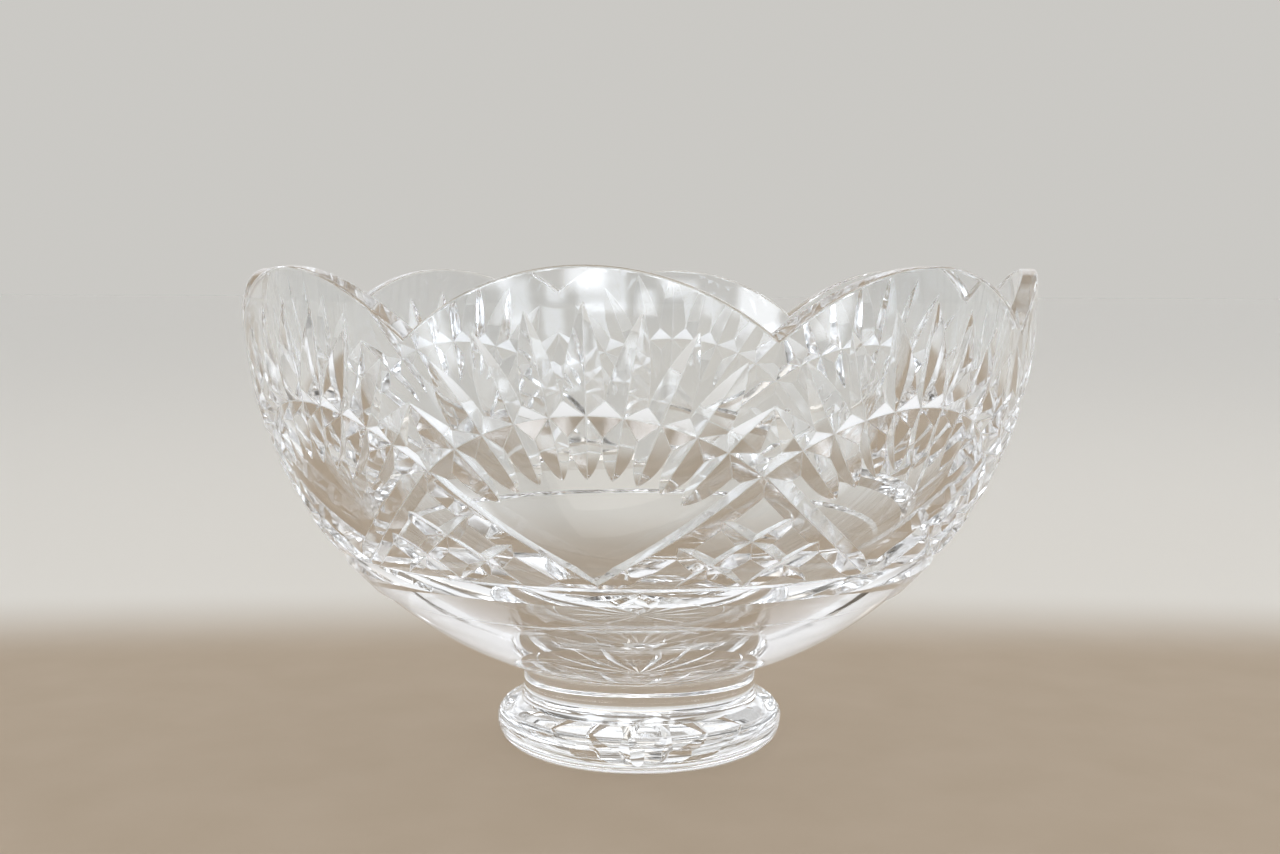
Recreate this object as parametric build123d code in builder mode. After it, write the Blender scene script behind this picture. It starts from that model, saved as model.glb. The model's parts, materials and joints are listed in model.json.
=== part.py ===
"""Footed cut-glass punch bowl with a rim of eight scallops.

Three pieces of glass stand on one axis and are fused face to face: the bowl,
a short waisted collar and a solid foot with a star cut into its underside.
The origin is the middle of the foot's resting face, with +Z up.
"""

import os
from math import atan2, cos, degrees, radians, sin, sqrt

from build123d import *

# Driving dimensions, in millimetres and degrees
BODY_DIAMETER = 254.0  # widest outside diameter of the bowl
RIM_HEIGHT = 157.0  # top of each scallop above the table
EQUATOR_HEIGHT = 147.0  # height of the bowl's widest ring
WALL = 5.7  # wall thickness at the widest ring
FLOOR_HEIGHT = 34.0  # lowest point of the bowl's inside

PANELS = 8  # scallops round the rim
SCALLOP_RADIUS = 71.0  # radius of each scallop's arc, seen square on

UPPER_RING_HEIGHT = 67.5  # mitre ring below the cut pattern
RING_WIDTH = 7.8
RING_DEPTH = 2.2
LEDGE_HEIGHT = 56.3  # sharp ledge round the underside
LEDGE_STEP = 0.9

BOWL_SEAT_HEIGHT = 27.2  # face where the bowl meets the collar
WAIST_DIAMETER = 77.6  # narrowest part of the collar
WAIST_HEIGHT = 19.5
COLLAR_BASE_HEIGHT = 14.6  # face where the collar meets the foot
COLLAR_BASE_DIAMETER = 79.2

FOOT_DIAMETER = 95.0
FOOT_SIDE_HEIGHT = 7.6  # where the foot's side is upright
FOOT_SHOULDER_HEIGHT = 11.3  # where its side and its sloping top would meet
FOOT_ROUNDING = 4.8  # round between the side and the sloping top
FOOT_FACE_DIAMETER = 84.0  # outer edge of the ring it rests on
UNDERCUT_DIAMETER = 75.0  # shallow hollow that the star is cut into
UNDERCUT_DEPTH = 0.8

STAR_RAYS = 16
STAR_REACH = 35.0  # length of each ray from the axis
STAR_WIDTH = 15.0  # width of a ray at the axis, where it is deepest
STAR_DEPTH = 3.6

# Sizes that follow from them
body_radius = BODY_DIAMETER / 2
lower_radius = body_radius - LEDGE_STEP
seat_radius = sqrt(lower_radius**2 - (EQUATOR_HEIGHT - BOWL_SEAT_HEIGHT) ** 2)
equator_bore = body_radius - WALL
bore_drop = EQUATOR_HEIGHT - FLOOR_HEIGHT
bore_rise = (equator_bore**2 - bore_drop**2) / (2 * bore_drop)
bore_radius = bore_drop + bore_rise
bore_centre = EQUATOR_HEIGHT + bore_rise
ray_slope = degrees(atan2(STAR_DEPTH, STAR_REACH))


def on_sphere(radius, centre_height, height):
    """Point of a sphere's section at a height, as (distance from axis, height)."""
    return (sqrt(radius**2 - (height - centre_height) ** 2), height)


def on_body(height):
    return on_sphere(body_radius, EQUATOR_HEIGHT, height)


def mitre_bottom():
    """Bottom of the ring's V groove, below the middle of the groove."""
    radius, height = on_body(UPPER_RING_HEIGHT)
    reach = 1 - RING_DEPTH / body_radius
    return (radius * reach, EQUATOR_HEIGHT + (height - EQUATOR_HEIGHT) * reach)


def outward_plane(azimuth, slope=0, height=0):
    """Plane on the axis that faces out, or out and down by a slope in degrees.

    Its own x is level and its own y points upwards.
    """
    level = cos(radians(slope))
    facing = Vector(sin(radians(azimuth)) * level, -cos(radians(azimuth)) * level, -sin(radians(slope)))
    across = Vector(0, 0, 1).cross(facing)
    return Plane(origin=(0, 0, height), x_dir=across, z_dir=facing)


# Rim template: eight round-topped slabs, one under each scallop
panel_azimuths = [panel * 360 / PANELS for panel in range(PANELS)]
scallop_centre = RIM_HEIGHT - SCALLOP_RADIUS

with BuildPart() as rim_template:
    for azimuth in panel_azimuths:
        with BuildSketch(outward_plane(azimuth)):
            with Locations((0, scallop_centre)):
                Circle(SCALLOP_RADIUS)
                Rectangle(2 * SCALLOP_RADIUS, scallop_centre, align=(Align.CENTER, Align.MAX))
        extrude(amount=BODY_DIAMETER)

# Bowl: two unequal spheres give a wall that thickens towards the floor
ring_half_rise = RING_WIDTH / 2 * on_body(UPPER_RING_HEIGHT)[0] / body_radius
ring_top = on_body(UPPER_RING_HEIGHT + ring_half_rise)
ring_foot = on_body(UPPER_RING_HEIGHT - ring_half_rise)
ledge = on_body(LEDGE_HEIGHT)
ledge_inset = on_sphere(lower_radius, EQUATOR_HEIGHT, LEDGE_HEIGHT - LEDGE_STEP)
underside_middle = on_sphere(lower_radius, EQUATOR_HEIGHT, (LEDGE_HEIGHT + BOWL_SEAT_HEIGHT) / 2)
band_middle = on_body((ring_foot[1] + LEDGE_HEIGHT) / 2)
wall_middle = on_body((ring_top[1] + RIM_HEIGHT) / 2)
inner_lip = on_sphere(bore_radius, bore_centre, RIM_HEIGHT)
inner_middle = on_sphere(bore_radius, bore_centre, (FLOOR_HEIGHT + RIM_HEIGHT) / 2)

with BuildPart() as bowl:
    with BuildSketch(Plane.XZ):
        with BuildLine():
            Line((0, BOWL_SEAT_HEIGHT), (seat_radius, BOWL_SEAT_HEIGHT))
            ThreePointArc((seat_radius, BOWL_SEAT_HEIGHT), underside_middle, ledge_inset)
            Line(ledge_inset, ledge)
            ThreePointArc(ledge, band_middle, ring_foot)
            Polyline(ring_foot, mitre_bottom(), ring_top)
            ThreePointArc(ring_top, wall_middle, on_body(RIM_HEIGHT))
            Line(on_body(RIM_HEIGHT), inner_lip)
            ThreePointArc(inner_lip, inner_middle, (0, FLOOR_HEIGHT))
            Line((0, FLOOR_HEIGHT), (0, BOWL_SEAT_HEIGHT))
        make_face()
    revolve(axis=Axis.Z)
    add(rim_template.part, mode=Mode.INTERSECT)

# Collar: a waisted ring of solid glass between the bowl and the foot
collar_foot = (COLLAR_BASE_DIAMETER / 2, COLLAR_BASE_HEIGHT)
collar_top = (seat_radius, BOWL_SEAT_HEIGHT)

with BuildPart() as collar:
    with BuildSketch(Plane.XZ):
        with BuildLine():
            Line((0, COLLAR_BASE_HEIGHT), collar_foot)
            ThreePointArc(collar_foot, (WAIST_DIAMETER / 2, WAIST_HEIGHT), collar_top)
            Line(collar_top, (0, BOWL_SEAT_HEIGHT))
            Line((0, BOWL_SEAT_HEIGHT), (0, COLLAR_BASE_HEIGHT))
        make_face()
    revolve(axis=Axis.Z)

# Foot: a thick disc with a rounded side, hollowed a little underneath
foot_side = (FOOT_DIAMETER / 2, FOOT_SIDE_HEIGHT)
foot_shoulder = (FOOT_DIAMETER / 2, FOOT_SHOULDER_HEIGHT)
resting_edge = (FOOT_FACE_DIAMETER / 2, 0)
undercut_edge = (UNDERCUT_DIAMETER / 2, UNDERCUT_DEPTH)

with BuildPart() as foot:
    with BuildSketch(Plane.XZ):
        with BuildLine():
            Line((0, UNDERCUT_DEPTH), undercut_edge)
            Polyline(undercut_edge, (UNDERCUT_DIAMETER / 2 + UNDERCUT_DEPTH, 0), resting_edge)
            TangentArc(foot_side, resting_edge, tangent=(0, -1))
            FilletPolyline(foot_side, foot_shoulder, collar_foot, radius=FOOT_ROUNDING)
            Line(collar_foot, (0, COLLAR_BASE_HEIGHT))
            Line((0, COLLAR_BASE_HEIGHT), (0, UNDERCUT_DEPTH))
        make_face()
    revolve(axis=Axis.Z)
    # Star: each ray is a V groove that runs out of the underside as it nears its tip
    for ray in range(STAR_RAYS):
        with BuildSketch(outward_plane(ray * 360 / STAR_RAYS, ray_slope, UNDERCUT_DEPTH)):
            with BuildLine():
                Polyline(
                    (-STAR_WIDTH / 2, 0),
                    (STAR_WIDTH / 2, 0),
                    (0, STAR_DEPTH),
                    close=True,
                )
            make_face()
        extrude(amount=STAR_REACH, mode=Mode.SUBTRACT)

os.makedirs("parts", exist_ok=True)
bowl.part.label = "bowl"
export_step(bowl.part, "parts/bowl.step")
collar.part.label = "collar"
export_step(collar.part, "parts/collar.step")
foot.part.label = "foot"
export_step(foot.part, "parts/foot.step")
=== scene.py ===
import json
import math

import bpy
import numpy as np
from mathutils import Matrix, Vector

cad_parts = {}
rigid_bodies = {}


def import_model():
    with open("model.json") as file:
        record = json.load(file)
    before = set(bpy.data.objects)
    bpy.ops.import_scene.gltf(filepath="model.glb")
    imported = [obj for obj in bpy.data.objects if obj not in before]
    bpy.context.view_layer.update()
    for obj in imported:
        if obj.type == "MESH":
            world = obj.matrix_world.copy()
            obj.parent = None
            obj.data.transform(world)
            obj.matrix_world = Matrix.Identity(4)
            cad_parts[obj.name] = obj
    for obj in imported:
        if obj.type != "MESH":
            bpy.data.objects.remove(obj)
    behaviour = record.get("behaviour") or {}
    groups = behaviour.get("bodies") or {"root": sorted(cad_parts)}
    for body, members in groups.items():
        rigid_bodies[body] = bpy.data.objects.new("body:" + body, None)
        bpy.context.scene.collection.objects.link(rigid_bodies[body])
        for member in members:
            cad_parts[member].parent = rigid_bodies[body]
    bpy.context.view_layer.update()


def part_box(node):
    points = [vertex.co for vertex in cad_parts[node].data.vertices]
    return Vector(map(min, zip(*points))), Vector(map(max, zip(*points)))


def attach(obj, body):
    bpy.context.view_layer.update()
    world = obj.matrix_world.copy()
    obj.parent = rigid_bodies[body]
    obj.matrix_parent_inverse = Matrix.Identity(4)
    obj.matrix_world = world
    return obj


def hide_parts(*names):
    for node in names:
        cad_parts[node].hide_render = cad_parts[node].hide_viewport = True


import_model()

bowl_low, bowl_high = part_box("bowl")
collar_low, collar_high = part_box("collar")
foot_low, foot_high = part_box("foot")

# Lengths are in metres and angles in degrees. The bowl's body is a sphere, so every cut on it is
# placed by azimuth (0 faces -Y, growing towards +X) and latitude (0 at the widest ring).
MM = 0.001
PANELS = 8
PANEL_ANGLE = 360 / PANELS
BODY_RADIUS = 0.127
EQUATOR = 0.147
SCALLOP_RADIUS = 0.071
RIM_TOP = bowl_high.z
SCALLOP_CENTRE = RIM_TOP - SCALLOP_RADIUS
RIM_ROUNDING = 0.9 * MM

SEAT = bowl_low.z
UNDERSIDE_RADIUS = BODY_RADIUS - 0.9 * MM
LEDGE = 0.0563
LEDGE_DROP = 0.9 * MM
RING = 0.0675
RING_WIDTH = 7.8 * MM
RING_DEPTH = 2.2 * MM

WALL = 5.7 * MM
FLOOR = 0.034
BORE_DROP = EQUATOR - FLOOR
BORE_RISE = ((BODY_RADIUS - WALL) ** 2 - BORE_DROP**2) / (2 * BORE_DROP)
BORE_RADIUS = BORE_DROP + BORE_RISE
BORE_CENTRE = EQUATOR + BORE_RISE

COLUMNS_PER_PANEL = 48
UNDERSIDE_ROWS = 20
BAND_ROWS = 6  # between the ledge and the ring
CUT_ROWS = 46
BORE_ROWS = 60
FLAT_SHARES = (0.25, 0.5, 0.75)  # where a flat disc's faces are divided, from its middle out


# ---------------------------------------------------------------- meshes

def mesh_object(name, points, faces, materials, material_of_face=None):
    """A mesh in the scene; without material_of_face, every face has the first material."""
    mesh = bpy.data.meshes.new(name)
    mesh.from_pydata([tuple(p) for p in points], [], faces)
    for material in materials:
        mesh.materials.append(material)
    if material_of_face is not None:
        mesh.polygons.foreach_set("material_index", material_of_face)
    mesh.polygons.foreach_set("use_smooth", [True] * len(faces))
    mesh.update()
    piece = bpy.data.objects.new(name, mesh)
    bpy.context.scene.collection.objects.link(piece)
    return piece


def turned(profile_at, columns, parts):
    """Points and faces of a closed solid of revolution whose section may change with azimuth.

    profile_at(column) gives the section from the axis below, round the outside, to the axis above.
    parts gives the material slot of each segment of the section.
    """
    points = []
    rings = []
    for column in range(columns):
        azimuth = 2 * math.pi * column / columns
        section = profile_at(column)
        ring = []
        for radius, height in section[1:-1]:
            ring.append(len(points))
            points.append((radius * math.sin(azimuth), -radius * math.cos(azimuth), height))
        rings.append(ring)
    bottom = len(points)
    points.append((0, 0, profile_at(0)[0][1]))
    top = len(points)
    points.append((0, 0, profile_at(0)[-1][1]))
    faces = []
    materials = []
    for column in range(columns):
        here = rings[column]
        there = rings[(column + 1) % columns]
        faces.append((bottom, there[0], here[0]))
        materials.append(parts[0])
        for row in range(len(here) - 1):
            faces.append((here[row], there[row], there[row + 1], here[row + 1]))
            materials.append(parts[row + 1])
        faces.append((here[-1], there[-1], top))
        materials.append(parts[-1])
    return points, faces, materials


def arc_heights(radius, centre, low, high, count):
    """Points of a sphere's section from one height to another, evenly spaced along the arc."""
    start = math.asin(max(-1, min(1, (low - centre) / radius)))
    end = math.asin(max(-1, min(1, (high - centre) / radius)))
    angles = [start + (end - start) * i / count for i in range(count + 1)]
    return [(radius * math.cos(a), centre + radius * math.sin(a)) for a in angles]


ROUNDING_STEPS = 6


def rounded(before, corner, after, radius):
    """Corner of a section, softened between points a radius before and after it."""
    corner = Vector(corner)
    start = corner + (Vector(before) - corner).normalized() * radius
    end = corner + (Vector(after) - corner).normalized() * radius
    curve = []
    for i in range(ROUNDING_STEPS + 1):
        t = i / ROUNDING_STEPS
        curve.append(tuple(start * (1 - t) ** 2 + corner * 2 * t * (1 - t) + end * t**2))
    return curve


RIM_ROUNDS = 30  # far more than the search for the rim takes to settle
JUNCTION_ROUNDS = 40


def rim_point(radius, centre, azimuth):
    """Where a scallop's arc crosses a sphere's section at an azimuth measured from its middle."""
    height = RIM_TOP
    for _ in range(RIM_ROUNDS):
        reach = math.sqrt(radius**2 - (height - centre) ** 2) * math.sin(azimuth)
        height = SCALLOP_CENTRE + math.sqrt(SCALLOP_RADIUS**2 - reach**2)
    return (math.sqrt(radius**2 - (height - centre) ** 2), height)


# ---------------------------------------------------------------- glass

LEAD_CRYSTAL_IOR = 1.54
TINT_DRIFT = 9.0  # scale of the colour drift
TINT_STOPS = ((0.3, (0.95, 0.966, 0.98, 1)), (0.7, (0.975, 0.98, 0.98, 1)))
FILM_RANGE = (0.45, 0.8)  # the part of the noise that becomes haze
ARRIS_SAMPLES = 4
ARRIS_RANGE = (0.999, 0.96)  # how well the face and the rounded arris agree: sound, worn
ARRIS_ROUGHNESS = 0.5
THROUGH_GLASS = (0.94, 0.935, 0.93, 1)  # share of that light left after each face it passes
GLASS, JOINT = 0, 1  # material slots of the pieces


def add(nodes, kind, **sockets):
    """A new shader node with some of its inputs set."""
    node = nodes.new(kind)
    for name, value in sockets.items():
        node.inputs[name.replace("_", " ")].default_value = value
    return node


def crystal(name, wave_scale, wave_height, haze, film_scale, rounding):
    """Lead crystal with a faint colour drift, a ripple from the wheel and traces of haze.

    haze is the roughness from clean to filmed. rounding is the arris radius, or 0 for no arrises.
    """
    material = bpy.data.materials.new(name)
    material.use_nodes = True
    tree = material.node_tree
    nodes, links = tree.nodes, tree.links
    nodes.clear()
    output = nodes.new("ShaderNodeOutputMaterial")
    glass = nodes.new("ShaderNodeBsdfPrincipled")
    glass.inputs["IOR"].default_value = LEAD_CRYSTAL_IOR
    glass.inputs["Transmission Weight"].default_value = 1
    place = nodes.new("ShaderNodeTexCoord")

    drift = add(nodes, "ShaderNodeTexNoise", Scale=TINT_DRIFT, Detail=2.0)
    links.new(place.outputs["Object"], drift.inputs["Vector"])
    tint = nodes.new("ShaderNodeValToRGB")
    for stop, (position, colour) in zip(tint.color_ramp.elements, TINT_STOPS):
        stop.position = position
        stop.color = colour
    links.new(drift.outputs["Fac"], tint.inputs["Fac"])
    links.new(tint.outputs["Color"], glass.inputs["Base Color"])

    film = add(nodes, "ShaderNodeTexNoise", Scale=film_scale, Detail=4.0)
    links.new(place.outputs["Object"], film.inputs["Vector"])
    haze_range = nodes.new("ShaderNodeMapRange")
    haze_range.inputs["From Min"].default_value = FILM_RANGE[0]
    haze_range.inputs["From Max"].default_value = FILM_RANGE[1]
    haze_range.inputs["To Min"].default_value = haze[0]
    haze_range.inputs["To Max"].default_value = haze[1]
    links.new(film.outputs["Fac"], haze_range.inputs["Value"])

    ripple = add(nodes, "ShaderNodeTexNoise", Scale=wave_scale, Detail=1.0)
    links.new(place.outputs["Object"], ripple.inputs["Vector"])
    bump = add(nodes, "ShaderNodeBump", Strength=1.0, Distance=wave_height)
    links.new(ripple.outputs["Fac"], bump.inputs["Height"])
    links.new(bump.outputs["Normal"], glass.inputs["Normal"])
    if rounding:
        # Arrises are a little rounded and lose some of their polish
        arris = nodes.new("ShaderNodeBevel")
        arris.samples = ARRIS_SAMPLES
        arris.inputs["Radius"].default_value = rounding
        links.new(arris.outputs["Normal"], bump.inputs["Normal"])
        facing = nodes.new("ShaderNodeNewGeometry")
        agree = nodes.new("ShaderNodeVectorMath")
        agree.operation = "DOT_PRODUCT"
        links.new(arris.outputs["Normal"], agree.inputs[0])
        links.new(facing.outputs["Normal"], agree.inputs[1])
        worn = nodes.new("ShaderNodeMapRange")
        worn.inputs["From Min"].default_value = ARRIS_RANGE[0]
        worn.inputs["From Max"].default_value = ARRIS_RANGE[1]
        worn.inputs["To Max"].default_value = ARRIS_ROUGHNESS
        links.new(agree.outputs["Value"], worn.inputs["Value"])
        total = nodes.new("ShaderNodeMath")
        total.use_clamp = True
        links.new(haze_range.outputs["Result"], total.inputs[0])
        links.new(worn.outputs["Result"], total.inputs[1])
        links.new(total.outputs["Value"], glass.inputs["Roughness"])
    else:
        links.new(haze_range.outputs["Result"], glass.inputs["Roughness"])

    # Light on its way to the floor passes straight through the glass instead of stopping at it
    path = nodes.new("ShaderNodeLightPath")
    clear = nodes.new("ShaderNodeBsdfTransparent")
    clear.inputs["Color"].default_value = THROUGH_GLASS
    surface = glass.outputs["BSDF"]
    for ray in ("Is Shadow Ray", "Is Diffuse Ray"):
        mix = nodes.new("ShaderNodeMixShader")
        links.new(path.outputs[ray], mix.inputs["Fac"])
        links.new(surface, mix.inputs[1])
        links.new(clear.outputs["BSDF"], mix.inputs[2])
        surface = mix.outputs["Shader"]
    links.new(surface, output.inputs["Surface"])
    return material


def fused_joint():
    """Where two gathers of hot glass were joined nothing shows, so light goes straight on."""
    material = bpy.data.materials.new("fused_joint")
    material.use_nodes = True
    nodes, links = material.node_tree.nodes, material.node_tree.links
    nodes.clear()
    output = nodes.new("ShaderNodeOutputMaterial")
    clear = nodes.new("ShaderNodeBsdfTransparent")
    links.new(clear.outputs["BSDF"], output.inputs["Surface"])
    return material


CRYSTAL = crystal("crystal_polished", 38.0, 0.03 * MM, (0.0, 0.012), 60.0, 0)
CUT_CRYSTAL = crystal("crystal_cut", 160.0, 0.03 * MM, (0.05, 0.14), 160.0, 0.5 * MM)
FUSED = fused_joint()


# ---------------------------------------------------------------- bowl

def bowl_section(column):
    """Section of the bowl at one column, from its seat on the collar to the middle of its floor."""
    half = COLUMNS_PER_PANEL / 2
    off_middle = abs((column + half) % COLUMNS_PER_PANEL - half) / COLUMNS_PER_PANEL
    azimuth = math.radians(off_middle * PANEL_ANGLE)
    seat_radius = arc_heights(UNDERSIDE_RADIUS, EQUATOR, SEAT, SEAT, 1)[0][0]
    body_at_ring = arc_heights(BODY_RADIUS, EQUATOR, RING, RING, 1)[0]
    half_rise = RING_WIDTH / 2 * body_at_ring[0] / BODY_RADIUS
    shrink = 1 - RING_DEPTH / BODY_RADIUS
    ring_bottom = (body_at_ring[0] * shrink, EQUATOR + (RING - EQUATOR) * shrink)
    outer = rim_point(BODY_RADIUS, EQUATOR, azimuth)
    inner = rim_point(BORE_RADIUS, BORE_CENTRE, azimuth)
    below_outer = arc_heights(BODY_RADIUS, EQUATOR, outer[1] - RIM_ROUNDING, outer[1], 1)[0]
    below_inner = arc_heights(BORE_RADIUS, BORE_CENTRE, inner[1] - RIM_ROUNDING, inner[1], 1)[0]
    outer_round = rounded(below_outer, outer, inner, RIM_ROUNDING)
    inner_round = rounded(outer, inner, below_inner, RIM_ROUNDING)

    section = [(0, SEAT)]
    section += [(seat_radius * share, SEAT) for share in FLAT_SHARES]
    section += arc_heights(UNDERSIDE_RADIUS, EQUATOR, SEAT, LEDGE - LEDGE_DROP, UNDERSIDE_ROWS)
    section += arc_heights(BODY_RADIUS, EQUATOR, LEDGE, RING - half_rise, BAND_ROWS)
    section += [ring_bottom]
    below_rim = outer_round[0][1]
    section += arc_heights(BODY_RADIUS, EQUATOR, RING + half_rise, below_rim, CUT_ROWS)[:-1]
    section += outer_round + inner_round
    section += arc_heights(BORE_RADIUS, BORE_CENTRE, inner_round[-1][1], FLOOR, BORE_ROWS)[1:-1]
    section += [(0, FLOOR)]
    return section


def on_sphere(azimuth, latitude):
    """Direction from the middle of the body's sphere."""
    a = math.radians(azimuth)
    b = math.radians(latitude)
    return Vector((math.sin(a) * math.cos(b), -math.cos(a) * math.cos(b), math.sin(b)))


def about(centre, bearing, reach):
    """Direction at a reach from a centre on the sphere. Bearing 0 is up, 90 is towards +azimuth."""
    up = Vector((0, 0, 1))
    side = up.cross(centre).normalized()
    north = centre.cross(side).normalized()
    heading = north * math.cos(math.radians(bearing)) + side * math.sin(math.radians(bearing))
    return centre * math.cos(math.radians(reach)) + heading * math.sin(math.radians(reach))


def great_circle(start, end, share):
    """Direction a share of the way from one to another; below 0 or above 1 runs past the ends."""
    angle = start.angle(end)
    blend = start * math.sin((1 - share) * angle) + end * math.sin(share * angle)
    return blend / math.sin(angle)


CUT_SLOPE = 2.05  # a mitre cut is this many times as wide, to each side, as it is deep
CUTTER_CLEARANCE = 1.2 * MM  # how far a cutter stands out of the glass
HEADING_STEP = 0.01  # share of a path over which its heading is taken


def mitre_cut(name, path, depth_at, stations):
    """Closed wedge that cuts a V groove of varying depth along a path on the sphere.

    path(t) and depth_at(t) take t from 0 to 1. Where the depth is below 0, the wedge is out of the
    glass.
    """
    clear = CUTTER_CLEARANCE
    middle = Vector((0, 0, EQUATOR))
    points = []
    for i in range(stations + 1):
        t = i / stations
        out = path(t).normalized()
        ahead = (path(min(t + HEADING_STEP, 1)) - path(max(t - HEADING_STEP, 0))).normalized()
        side = ahead.cross(out).normalized()
        depth = depth_at(t)
        half_width = CUT_SLOPE * (depth + clear)
        surface = middle + out * BODY_RADIUS
        points.append(surface - out * depth)
        points.append(surface + out * clear + side * half_width)
        points.append(surface + out * clear - side * half_width)
    faces = []
    for i in range(stations):
        a = 3 * i
        b = a + 3
        faces.append((a, b, b + 1, a + 1))
        faces.append((a + 1, b + 1, b + 2, a + 2))
        faces.append((a + 2, b + 2, b, a))
    faces.append((0, 1, 2))
    last = 3 * stations
    faces.append((last, last + 2, last + 1))
    return mesh_object(name, points, faces, [CUT_CRYSTAL])


FAN_LATITUDE = -37.0  # the blades of a fan point at the bottom of the zigzag
BLADE_BEARING = 11.4  # between neighbouring blades at their tips
BLADE_TURN = 0.9  # share of that bearing left at their lower ends
BLADE_TIPS = (37.8, 37.2, 36.4, 35.4, 32.4)  # from the middle blade outwards
TENT_AZIMUTH = 22.9  # the outermost blades of two panels meet in a tent
TENT_LATITUDE = -11.3
BLADE_WAIST = 27.0  # where a blade is deepest
BLADE_END = 16.3
BLADE_SHOULDER = 21.0  # where its rounded lower end begins
BLADE_DEPTH = 2.7 * MM
BLADE_FULLNESS = 1.7  # how long a blade keeps its depth towards its tip
OUTERMOST_FULLNESS = 1.05
BLADE_END_FULLNESS = 0.75
OUTERMOST = 4  # place of the last blade on each side of the middle one
ARC_LATITUDE = -40.0
ARC_REACH = 27.0
ARC_DEPTH = 2.4 * MM
ARC_OVERRUN = 7.0
JUNCTION_LATITUDE = -20.6
LEG_DEPTH = 2.1 * MM
LEG_START = -0.005  # shares of the way from the bottom of the zigzag to the junction
LEG_FINISH = 1.06
LEG_EASE = 0.16  # share over which a leg reaches its depth, from this much less at the bottom
LEG_SHALLOW = 0.5
STROKE_DEPTH = 1.8 * MM
# The two strokes on each side of a junction: azimuth from it and latitude, of start and end
STROKES = (((-7.0, -24.9), (11.2, -37.0)), ((-13.0, -28.9), (0.7, -37.4)))
OUT_OF_GLASS = -0.15 * MM  # depth of a cutter at its ends, where it has left the glass
RUN_OUT = 8  # the higher this power, the closer to its ends a cutter leaves the glass
STATIONS = {"blade": 60, "arc": 72, "leg": 40, "stroke": 16}


def blade(azimuth, place):
    """One blade of a fan: a long pointed cut with a short rounded lower end."""
    fan = on_sphere(azimuth, FAN_LATITUDE)
    tip_reach = BLADE_TIPS[abs(place)]
    bearing = place * BLADE_BEARING
    tip = about(fan, bearing, tip_reach)
    fullness = BLADE_FULLNESS
    if abs(place) == OUTERMOST:
        fullness = OUTERMOST_FULLNESS
        tip = on_sphere(azimuth + math.copysign(TENT_AZIMUTH, place), TENT_LATITUDE)
        tip_reach = math.degrees(fan.angle(tip))
    end = about(fan, bearing * BLADE_TURN, BLADE_END)

    def path(t):
        return great_circle(tip, end, t)

    def depth_at(t):
        reach = tip_reach + (BLADE_END - tip_reach) * t
        if reach > BLADE_WAIST:
            rise = (reach - BLADE_WAIST) / (tip_reach - BLADE_WAIST)
            depth = BLADE_DEPTH * (1 - rise**fullness)
        else:
            widest = math.sin(math.radians(BLADE_WAIST))
            depth = BLADE_DEPTH * math.sin(math.radians(reach)) / widest
        if reach < BLADE_SHOULDER:
            fall = (BLADE_SHOULDER - reach) / (BLADE_SHOULDER - BLADE_END)
            depth *= max(0.0, 1 - fall**2) ** BLADE_END_FULLNESS
        return depth + OUT_OF_GLASS * abs(2 * t - 1) ** RUN_OUT

    return mitre_cut("blade", path, depth_at, STATIONS["blade"])


def junction_bearing():
    """Bearing, from an arc's centre, of the point where it meets the next panel's arc."""
    centre = on_sphere(0, ARC_LATITUDE)
    low, high = 0.0, 90.0
    for _ in range(JUNCTION_ROUNDS):
        bearing = (low + high) / 2
        point = about(centre, bearing, ARC_REACH)
        azimuth = math.degrees(math.atan2(point.x, -point.y))
        if azimuth < PANEL_ANGLE / 2:
            low = bearing
        else:
            high = bearing
    return bearing


def arc_cut(azimuth):
    """The arc across a fan's blades, from one junction to the next and a little past them."""
    centre = on_sphere(azimuth, ARC_LATITUDE)
    junction = junction_bearing()
    sweep = junction + ARC_OVERRUN

    def path(t):
        return about(centre, sweep * (2 * t - 1), ARC_REACH)

    def depth_at(t):
        fade = max(0.0, (abs(2 * t - 1) * sweep - junction) / ARC_OVERRUN)
        return ARC_DEPTH * (1 - fade) + OUT_OF_GLASS * fade

    return mitre_cut("arc", path, depth_at, STATIONS["arc"])


def leg_cut(azimuth, side):
    """One leg of the zigzag, from the bottom of a fan up to the junction beside it."""
    bottom = on_sphere(azimuth, FAN_LATITUDE)
    top = on_sphere(azimuth + side * PANEL_ANGLE / 2, JUNCTION_LATITUDE)

    def share_at(t):
        return LEG_START + (LEG_FINISH - LEG_START) * t

    def path(t):
        return great_circle(bottom, top, share_at(t))

    def depth_at(t):
        past_top = max(0.0, (share_at(t) - 1) / (LEG_FINISH - 1))
        near_bottom = max(0.0, 1 - (share_at(t) - LEG_START) / LEG_EASE)
        return LEG_DEPTH * (1 - past_top - LEG_SHALLOW * near_bottom) + OUT_OF_GLASS * past_top

    return mitre_cut("leg", path, depth_at, STATIONS["leg"])


def stroke_cut(start, end):
    """A small cut of the lattice, pointed at both ends as a wheel leaves it."""
    def path(t):
        return great_circle(start, end, t)

    def depth_at(t):
        return STROKE_DEPTH * (1 - (2 * t - 1) ** 2) + OUT_OF_GLASS * (2 * t - 1) ** RUN_OUT

    return mitre_cut("stroke", path, depth_at, STATIONS["stroke"])


def lattice_cuts(azimuth):
    """Two crossing pairs of strokes under a junction."""
    cuts = []
    for side in (-1, 1):
        for start, end in STROKES:
            cuts.append(stroke_cut(
                on_sphere(azimuth + side * start[0], start[1]),
                on_sphere(azimuth + side * end[0], end[1]),
            ))
    return cuts


def panel_cuts(azimuth):
    """Every cutter of one panel, with the lattice at its right-hand junction."""
    cuts = [blade(azimuth, place) for place in range(-OUTERMOST, OUTERMOST + 1)]
    cuts.append(arc_cut(azimuth))
    cuts += [leg_cut(azimuth, side) for side in (-1, 1)]
    cuts += lattice_cuts(azimuth + PANEL_ANGLE / 2)
    return cuts


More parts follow.
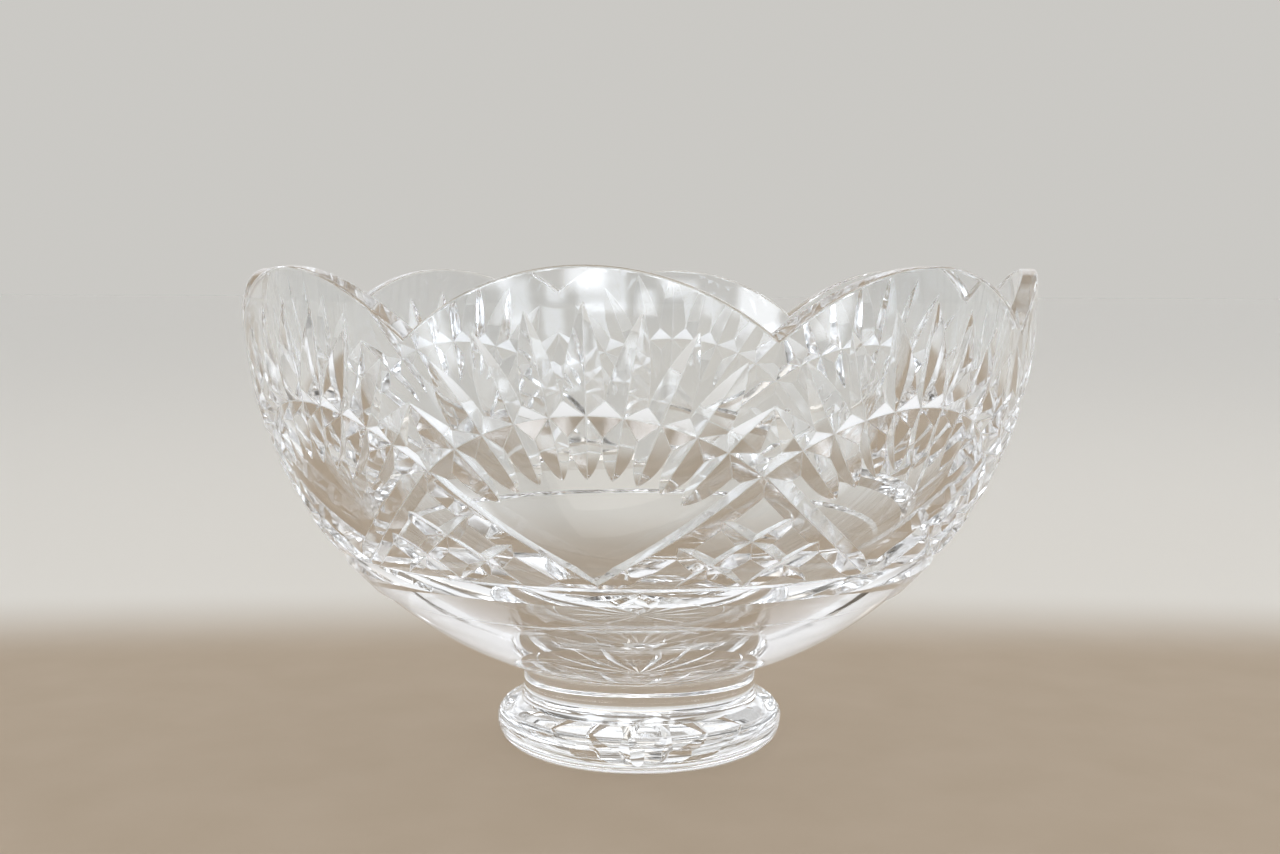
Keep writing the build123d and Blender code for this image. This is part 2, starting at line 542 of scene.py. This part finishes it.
def cut_away(piece, cutters):
    """Takes closed cutters out of a piece, one union of cutters at a time."""
    group = bpy.data.collections.new("cutters")
    bpy.context.scene.collection.children.link(group)
    for cutter in cutters:
        group.objects.link(cutter)
    tool = piece.modifiers.new("cut", "BOOLEAN")
    tool.operation = "DIFFERENCE"
    tool.operand_type = "COLLECTION"
    tool.collection = group
    tool.solver = "MANIFOLD"
    tool.material_mode = "TRANSFER"
    graph = bpy.context.evaluated_depsgraph_get()
    result = bpy.data.meshes.new_from_object(piece.evaluated_get(graph), depsgraph=graph)
    piece.modifiers.clear()
    piece.data = result
    for cutter in list(group.objects):
        bpy.data.objects.remove(cutter)
    bpy.data.collections.remove(group)


ON_SPHERE = 0.02 * MM  # how close a corner lies to a true sphere that it belongs to
FACES_SPHERE = math.cos(math.radians(3))  # and how nearly its face points the sphere's way


def polish(piece, surfaces, crease):
    """Sharp edges where facets meet, and exact normals where a face lies on a true sphere.

    surfaces lists (middle, radius, side): side is 1 where the glass is inside the sphere, and -1
    where it is outside. crease is the angle, in degrees, from which an edge is sharp.
    """
    mesh = piece.data
    mesh.polygons.foreach_set("use_smooth", [True] * len(mesh.polygons))
    mesh.set_sharp_from_angle(angle=math.radians(crease))
    points = np.empty(len(mesh.vertices) * 3)
    mesh.vertices.foreach_get("co", points)
    points = points.reshape(-1, 3)
    corners = np.empty(len(mesh.loops), int)
    mesh.loops.foreach_get("vertex_index", corners)
    normals = np.empty(len(mesh.loops) * 3)
    mesh.corner_normals.foreach_get("vector", normals)
    normals = normals.reshape(-1, 3)
    totals = np.empty(len(mesh.polygons), int)
    mesh.polygons.foreach_get("loop_total", totals)
    facing = np.empty(len(mesh.polygons) * 3)
    mesh.polygons.foreach_get("normal", facing)
    facing = np.repeat(facing.reshape(-1, 3), totals, axis=0)
    owner = np.repeat(np.arange(len(mesh.polygons)), totals)
    for middle, radius, side in surfaces:
        outward = points[corners] - np.array(middle)
        distance = np.linalg.norm(outward, axis=1)
        true_normal = side * outward / distance[:, None]
        fits = np.abs(distance - radius) < ON_SPHERE
        fits &= (true_normal * facing).sum(axis=1) > FACES_SPHERE
        whole = np.ones(len(mesh.polygons), bool)
        np.logical_and.at(whole, owner, fits)
        use = whole[owner]
        normals[use] = true_normal[use]
    mesh.normals_split_custom_set(normals.tolist())


SEAT_SEGMENTS = len(FLAT_SHARES) + 1
BOWL_CREASE = 12


def make_bowl():
    """The bowl: its turned shape, with every panel's cuts taken out of it."""
    segments = len(bowl_section(0)) - 1
    parts = [JOINT] * SEAT_SEGMENTS + [GLASS] * (segments - SEAT_SEGMENTS)
    points, faces, slots = turned(bowl_section, PANELS * COLUMNS_PER_PANEL, parts)
    bowl = mesh_object("cut_bowl", points, faces, [CRYSTAL, FUSED], slots)
    for panel in range(PANELS):
        cut_away(bowl, panel_cuts(panel * PANEL_ANGLE))
    polish(
        bowl,
        [
            ((0, 0, EQUATOR), BODY_RADIUS, 1),
            ((0, 0, EQUATOR), UNDERSIDE_RADIUS, 1),
            ((0, 0, BORE_CENTRE), BORE_RADIUS, -1),
        ],
        BOWL_CREASE,
    )
    return bowl


# ---------------------------------------------------------------- collar and foot

TURNED_COLUMNS = 192
WAIST_RADIUS = 0.0388
WAIST = 0.0195
COLLAR_BASE_RADIUS = 0.0396
FOOT_RADIUS = foot_high.x
FOOT_SIDE = 7.6 * MM
FOOT_SHOULDER = 11.3 * MM
FOOT_ROUNDING = 4.8 * MM
FOOT_FACE_RADIUS = 0.042
UNDERCUT_RADIUS = 0.0375
UNDERCUT = 0.8 * MM
STAR_RAYS = 16
STAR_REACH = 0.035
STAR_WIDTH = 0.015
STAR_DEPTH = 3.6 * MM
RAY_SHARES = (0.1, 0.4, 0.7, 1)  # where a ray of the star is divided, from the axis out
SLOPE_SHARES = (0.33, 0.67, 1)  # where the foot's sloping top is divided, towards the collar
TURN_STEPS = 12  # round the foot's side, and round its shoulder
WAIST_STEPS = 24
COLLAR_CREASE = 25
FOOT_CREASE = 20


def circle_through(first, middle, last, count):
    """Points of the arc through three points of a section."""
    ax, ay = first
    bx, by = middle
    cx, cy = last
    a_square = ax**2 + ay**2
    b_square = bx**2 + by**2
    c_square = cx**2 + cy**2
    d = 2 * (ax * (by - cy) + bx * (cy - ay) + cx * (ay - by))
    ux = (a_square * (by - cy) + b_square * (cy - ay) + c_square * (ay - by)) / d
    uy = (a_square * (cx - bx) + b_square * (ax - cx) + c_square * (bx - ax)) / d
    radius = math.hypot(ax - ux, ay - uy)
    start = math.atan2(ay - uy, ax - ux) % (2 * math.pi)
    end = math.atan2(cy - uy, cx - ux) % (2 * math.pi)
    angles = [start + (end - start) * i / count for i in range(count + 1)]
    return [(ux + radius * math.cos(a), uy + radius * math.sin(a)) for a in angles]


def collar_section(column):
    """Section of the collar, the same at every column."""
    seat_radius = arc_heights(UNDERSIDE_RADIUS, EQUATOR, SEAT, SEAT, 1)[0][0]
    base = collar_low.z
    section = [(0, base)]
    section += [(COLLAR_BASE_RADIUS * share, base) for share in FLAT_SHARES]
    rim, waist, seat = (COLLAR_BASE_RADIUS, base), (WAIST_RADIUS, WAIST), (seat_radius, SEAT)
    section += circle_through(rim, waist, seat, WAIST_STEPS)
    section += [(seat_radius * share, SEAT) for share in reversed(FLAT_SHARES)]
    section += [(0, SEAT)]
    return section


def foot_section(column):
    """Section of the foot at one column, from the middle of the star to the collar."""
    top = foot_high.z
    bulge = FOOT_RADIUS - FOOT_FACE_RADIUS
    side_radius = (bulge**2 + FOOT_SIDE**2) / (2 * bulge)
    side_middle = FOOT_RADIUS - side_radius
    side = []
    for i in range(TURN_STEPS + 1):
        angle = -math.asin(FOOT_SIDE / side_radius) * (1 - i / TURN_STEPS)
        reach = side_middle + side_radius * math.cos(angle)
        side.append((reach, FOOT_SIDE + side_radius * math.sin(angle)))
    inner = (COLLAR_BASE_RADIUS, top)
    slope = math.atan2(top - FOOT_SHOULDER, FOOT_RADIUS - COLLAR_BASE_RADIUS)
    turn = math.pi / 2 - slope
    back = FOOT_ROUNDING * math.tan(turn / 2)
    centre = Vector((FOOT_RADIUS - FOOT_ROUNDING, FOOT_SHOULDER - back))
    corner = []
    for i in range(TURN_STEPS + 1):
        angle = turn * i / TURN_STEPS
        away = Vector((math.cos(angle), math.sin(angle)))
        corner.append(tuple(centre + away * FOOT_ROUNDING))
    slope_end = Vector(corner[-1])
    slope_points = [tuple(slope_end.lerp(Vector(inner), share)) for share in SLOPE_SHARES]
    undercut_lip = (UNDERCUT_RADIUS + UNDERCUT, 0)
    # Each ray of the star is a V groove, and this column leaves the nearest ray at ray_edge
    per_ray = TURNED_COLUMNS // STAR_RAYS
    off_ray = abs((column + per_ray / 2) % per_ray - per_ray / 2) * 2 * math.pi / TURNED_COLUMNS
    ray_edge = 1 / (1 / STAR_REACH + 2 * math.sin(off_ray) / STAR_WIDTH)
    section = [(0, UNDERCUT + STAR_DEPTH)]
    for share in RAY_SHARES:
        section.append((ray_edge * share, UNDERCUT + STAR_DEPTH * (1 - share)))
    section.append(((ray_edge + UNDERCUT_RADIUS) / 2, UNDERCUT))
    section += [(UNDERCUT_RADIUS, UNDERCUT), undercut_lip]
    section += side + corner + slope_points
    section += [(COLLAR_BASE_RADIUS * share, top) for share in reversed(FLAT_SHARES)]
    section += [(0, top)]
    return section


def make_collar():
    """The collar, joined to the bowl above and to the foot below."""
    walls = len(collar_section(0)) - 1 - 2 * SEAT_SEGMENTS
    parts = [JOINT] * SEAT_SEGMENTS + [GLASS] * walls + [JOINT] * SEAT_SEGMENTS
    points, faces, slots = turned(collar_section, TURNED_COLUMNS, parts)
    collar = mesh_object("waisted_collar", points, faces, [CRYSTAL, FUSED], slots)
    polish(collar, [], COLLAR_CREASE)
    return collar


def make_foot():
    """The foot, with the star cut into its underside, joined to the collar above."""
    walls = len(foot_section(0)) - 1 - SEAT_SEGMENTS
    parts = [GLASS] * walls + [JOINT] * SEAT_SEGMENTS
    points, faces, slots = turned(foot_section, TURNED_COLUMNS, parts)
    foot = mesh_object("star_foot", points, faces, [CRYSTAL, FUSED], slots)
    polish(foot, [], FOOT_CREASE)
    return foot


# ---------------------------------------------------------------- camera

CAMERA_DISTANCE = 0.5064  # from the bowl's axis
CAMERA_HEIGHT = 0.1537
CAMERA_AZIMUTH = math.radians(6.45)
CAMERA_PITCH = math.radians(5.55)  # below level
CAMERA_ROLL = math.radians(-0.11)
SENSOR_WIDTH = 36
FOCAL_LENGTH = 43.1
NEAREST = 0.01


def make_camera():
    """The camera, where the photo was taken from."""
    data = bpy.data.cameras.new("camera")
    data.sensor_width = SENSOR_WIDTH
    data.lens = FOCAL_LENGTH
    data.clip_start = NEAREST
    camera = bpy.data.objects.new("camera", data)
    across = CAMERA_DISTANCE * math.sin(CAMERA_AZIMUTH)
    back = CAMERA_DISTANCE * math.cos(CAMERA_AZIMUTH)
    camera.location = (across, -back, CAMERA_HEIGHT)
    camera.rotation_euler = (math.pi / 2 - CAMERA_PITCH, CAMERA_ROLL, CAMERA_AZIMUTH)
    bpy.context.scene.collection.objects.link(camera)
    bpy.context.scene.camera = camera


# ---------------------------------------------------------------- studio

FLOOR_REACH = 12.0
FLOOR_DROP = 0.1 * MM  # below the foot, so that the two never share a plane
WARM_CENTRE = (0.225, -1.987, 0)  # two metres from the bowl, towards the camera
WARM_REACH = 2.11  # from that centre, the warm floor turns pale between these two
PALE_REACH = 2.25
CLOTH_SCALE = 30.0
WARM_SHADES = ((0.54, 0.43, 0.31, 1), (0.62, 0.505, 0.385, 1))
PALE_SHADE = (0.97, 0.93, 0.855, 1)
FLOOR_ROUGHNESS = 0.75
FLOOR_SHINE = 0.2


def make_floor():
    """Pale floor: warm under the bowl and in front of it, and paler towards the backdrop."""
    turns = ((-1, -1), (1, -1), (1, 1), (-1, 1))
    corners = [(x * FLOOR_REACH, y * FLOOR_REACH, -FLOOR_DROP) for x, y in turns]
    material = bpy.data.materials.new("pale_floor")
    material.use_nodes = True
    nodes, links = material.node_tree.nodes, material.node_tree.links
    matt = nodes["Principled BSDF"]
    matt.inputs["Roughness"].default_value = FLOOR_ROUGHNESS
    matt.inputs["Specular IOR Level"].default_value = FLOOR_SHINE
    place = nodes.new("ShaderNodeTexCoord")
    reach = nodes.new("ShaderNodeVectorMath")
    reach.operation = "DISTANCE"
    reach.inputs[1].default_value = WARM_CENTRE
    links.new(place.outputs["Object"], reach.inputs[0])
    fade = nodes.new("ShaderNodeMapRange")
    fade.interpolation_type = "SMOOTHSTEP"
    fade.inputs["From Min"].default_value = WARM_REACH
    fade.inputs["From Max"].default_value = PALE_REACH
    links.new(reach.outputs["Value"], fade.inputs["Value"])
    cloth = add(nodes, "ShaderNodeTexNoise", Scale=CLOTH_SCALE, Detail=6.0)
    links.new(place.outputs["Object"], cloth.inputs["Vector"])
    warm = nodes.new("ShaderNodeValToRGB")
    warm.color_ramp.elements[0].color = WARM_SHADES[0]
    warm.color_ramp.elements[1].color = WARM_SHADES[1]
    links.new(cloth.outputs["Fac"], warm.inputs["Fac"])
    blend = nodes.new("ShaderNodeMix")
    blend.data_type = "RGBA"
    blend.inputs["B"].default_value = PALE_SHADE
    links.new(fade.outputs["Result"], blend.inputs["Factor"])
    links.new(warm.outputs["Color"], blend.inputs["A"])
    links.new(blend.outputs["Result"], matt.inputs["Base Color"])
    floor = mesh_object("floor", corners, [(0, 1, 2, 3)], [material])


HORIZON = (0.594, 0.583, 0.556, 1)  # as light as the far end of the floor
# The surround above the horizon: height from 0, level, to 1, overhead, and its shade there
SKY = (
    (0.12, (0.66, 0.65, 0.63, 1)),
    (0.22, (0.90, 0.91, 0.93, 1)),
    (0.42, (0.90, 0.91, 0.93, 1)),
    (0.50, (0.30, 0.26, 0.215, 1)),
    (0.66, (0.20, 0.17, 0.14, 1)),
    (0.74, (0.70, 0.70, 0.70, 1)),
    (0.84, (0.70, 0.70, 0.70, 1)),
    (0.90, (0.15, 0.14, 0.13, 1)),
    (0.96, (0.20, 0.19, 0.18, 1)),
    (1.0, (0.9, 0.92, 0.95, 1)),
)
DAYLIGHT = (0.87, 0.925, 1.0, 1)
# Windows in the studio: azimuth, elevation, half width, half height, brightness
WINDOWS = (
    (-68, 16, 0.10, 0.12, 6.0),
    (-36, 12, 0.13, 0.14, 9.0),
    (-20, 15, 0.05, 0.10, 9.0),
    (-8, 9, 0.09, 0.10, 9.0),
    (4, 17, 0.05, 0.07, 9.0),
    (20, 12, 0.14, 0.13, 10.0),
    (37, 10, 0.05, 0.10, 9.0),
    (52, 15, 0.09, 0.13, 6.0),
    (88, 22, 0.10, 0.14, 5.0),
    (-110, 34, 0.12, 0.14, 4.0),
    (150, 42, 0.14, 0.10, 4.0),
)
WINDOW_EDGE = 0.04  # softness
ROOM_SHARE = 0.3  # brightness of the open room in front, and of the wall behind
BACK_SHARE = 1.16
ROOM_DEPTH = -0.1  # the one turns into the other between these two, from -1 in front to 1 behind
BACK_DEPTH = 0.6


def window(nodes, links, direction, azimuth, elevation, half_width, half_height, brightness):
    """Output with the brightness of one window in the surround, soft at its edges."""
    turn = nodes.new("ShaderNodeVectorRotate")
    turn.rotation_type = "EULER_XYZ"
    turn.invert = True
    turn.inputs["Rotation"].default_value = (math.radians(-elevation), 0, math.radians(azimuth))
    links.new(direction, turn.inputs["Vector"])
    split = nodes.new("ShaderNodeSeparateXYZ")
    links.new(turn.outputs["Vector"], split.inputs["Vector"])
    total = None
    for axis, half in (("X", half_width), ("Z", half_height)):
        off = nodes.new("ShaderNodeMath")
        off.operation = "ABSOLUTE"
        links.new(split.outputs[axis], off.inputs[0])
        edge = nodes.new("ShaderNodeMapRange")
        edge.interpolation_type = "SMOOTHSTEP"
        edge.inputs["From Min"].default_value = half + WINDOW_EDGE
        edge.inputs["From Max"].default_value = half - WINDOW_EDGE
        links.new(off.outputs["Value"], edge.inputs["Value"])
        if total is None:
            total = edge.outputs["Result"]
        else:
            both = nodes.new("ShaderNodeMath")
            both.operation = "MULTIPLY"
            links.new(total, both.inputs[0])
            links.new(edge.outputs["Result"], both.inputs[1])
            total = both.outputs["Value"]
    ahead = nodes.new("ShaderNodeMath")
    ahead.operation = "LESS_THAN"
    ahead.inputs[1].default_value = 0
    links.new(split.outputs["Y"], ahead.inputs[0])
    lit = nodes.new("ShaderNodeMath")
    lit.operation = "MULTIPLY"
    links.new(total, lit.inputs[0])
    links.new(ahead.outputs["Value"], lit.inputs[1])
    scaled = nodes.new("ShaderNodeMath")
    scaled.operation = "MULTIPLY"
    scaled.inputs[1].default_value = brightness
    links.new(lit.outputs["Value"], scaled.inputs[0])
    return scaled.outputs["Value"]


def make_world():
    """Soft surround with a few windows, which light the bowl but stay out of the picture."""
    world = bpy.data.worlds.new("studio")
    bpy.context.scene.world = world
    world.use_nodes = True
    nodes, links = world.node_tree.nodes, world.node_tree.links
    nodes.clear()
    place = nodes.new("ShaderNodeTexCoord")
    height = nodes.new("ShaderNodeSeparateXYZ")
    links.new(place.outputs["Generated"], height.inputs["Vector"])
    ramp = nodes.new("ShaderNodeValToRGB")
    stops = ramp.color_ramp.elements
    stops[0].position = 0.0
    stops[0].color = HORIZON
    stops[1].position = 1.0
    stops[1].color = SKY[-1][1]
    for position, shade in SKY[:-1]:
        stops.new(position).color = shade
    links.new(height.outputs["Z"], ramp.inputs["Fac"])
    depth = nodes.new("ShaderNodeMapRange")
    depth.interpolation_type = "SMOOTHSTEP"
    depth.inputs["From Min"].default_value = ROOM_DEPTH
    depth.inputs["From Max"].default_value = BACK_DEPTH
    depth.inputs["To Min"].default_value = ROOM_SHARE
    depth.inputs["To Max"].default_value = BACK_SHARE
    links.new(height.outputs["Y"], depth.inputs["Value"])
    walls = nodes.new("ShaderNodeBackground")
    links.new(ramp.outputs["Color"], walls.inputs["Color"])
    links.new(depth.outputs["Result"], walls.inputs["Strength"])
    total = None
    for spec in WINDOWS:
        lit = window(nodes, links, place.outputs["Generated"], *spec)
        if total is None:
            total = lit
            continue
        summed = nodes.new("ShaderNodeMath")
        links.new(total, summed.inputs[0])
        links.new(lit, summed.inputs[1])
        total = summed.outputs["Value"]
    calm = nodes.new("ShaderNodeBackground")
    calm.inputs["Color"].default_value = HORIZON
    glow = nodes.new("ShaderNodeBackground")
    glow.inputs["Color"].default_value = DAYLIGHT
    links.new(total, glow.inputs["Strength"])
    room = nodes.new("ShaderNodeAddShader")
    links.new(walls.outputs["Background"], room.inputs[0])
    links.new(glow.outputs["Background"], room.inputs[1])
    path = nodes.new("ShaderNodeLightPath")
    backdrop = nodes.new("ShaderNodeMixShader")
    links.new(path.outputs["Is Camera Ray"], backdrop.inputs["Fac"])
    links.new(room.outputs["Shader"], backdrop.inputs[1])
    links.new(calm.outputs["Background"], backdrop.inputs[2])
    output = nodes.new("ShaderNodeOutputWorld")
    links.new(backdrop.outputs["Shader"], output.inputs["Surface"])


SOFTBOX_SIZE = 1.2
SOFTBOX_POWER = 5.0
SOFTBOX_COLOUR = (1.0, 0.95, 0.88)
SOFTBOX_PLACE = (0.2, -0.3, 1.7)


def make_lights():
    """One large softbox overhead, for the soft shadow under the foot."""
    data = bpy.data.lights.new("softbox", "AREA")
    data.shape = "SQUARE"
    data.size = SOFTBOX_SIZE
    data.energy = SOFTBOX_POWER
    data.color = SOFTBOX_COLOUR
    lamp = bpy.data.objects.new("softbox", data)
    lamp.location = SOFTBOX_PLACE
    aim = Vector((0, 0, 0)) - lamp.location
    lamp.rotation_euler = aim.to_track_quat("-Z", "Y").to_euler()
    bpy.context.scene.collection.objects.link(lamp)


def set_light_paths():
    """Enough bounces for light to cross the cut walls of the bowl, and no stray sparkles."""
    cycles = bpy.context.scene.cycles
    cycles.max_bounces = 48
    cycles.transmission_bounces = 32
    cycles.glossy_bounces = 32  # reflections inside the wall count as glossy
    cycles.diffuse_bounces = 3
    cycles.transparent_max_bounces = 24
    cycles.caustics_reflective = False
    cycles.caustics_refractive = False
    cycles.sample_clamp_indirect = 6.0
    cycles.use_denoising = True
    bpy.context.scene.view_settings.view_transform = "Standard"


make_camera()
make_floor()
make_world()
make_lights()
set_light_paths()
for piece, node in ((make_bowl(), "bowl"), (make_collar(), "collar"), (make_foot(), "foot")):
    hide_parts(node)
    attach(piece, "root")
